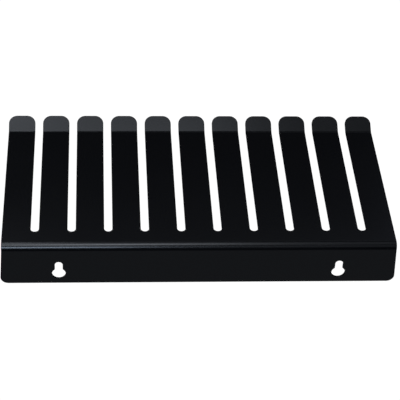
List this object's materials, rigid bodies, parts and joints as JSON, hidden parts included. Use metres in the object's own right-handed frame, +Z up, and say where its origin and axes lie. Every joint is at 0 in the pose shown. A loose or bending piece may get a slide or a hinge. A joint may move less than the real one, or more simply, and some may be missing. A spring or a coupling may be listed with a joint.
{
  "type": "lead hanger rack",
  "caption": "Wall-mounted comb of folded sheet steel that patch leads hang from, with open slots, upturned finger tips and a flange with keyholes.",
  "frame": {"origin": "on the flange's wall face, at mid-width, level with the two points where the wall screws sit in their keyhole necks", "axes": "+X along the rack, +Y out from the wall along the fingers, +Z up"},
  "size_m": [0.3078, 0.157, 0.0448],
  "materials": {
    "powder_coated_steel": "satin black powder coat"
  },
  "bodies": {
    "root": {"rack_plate": "powder_coated_steel"}
  },
  "joints": []
}
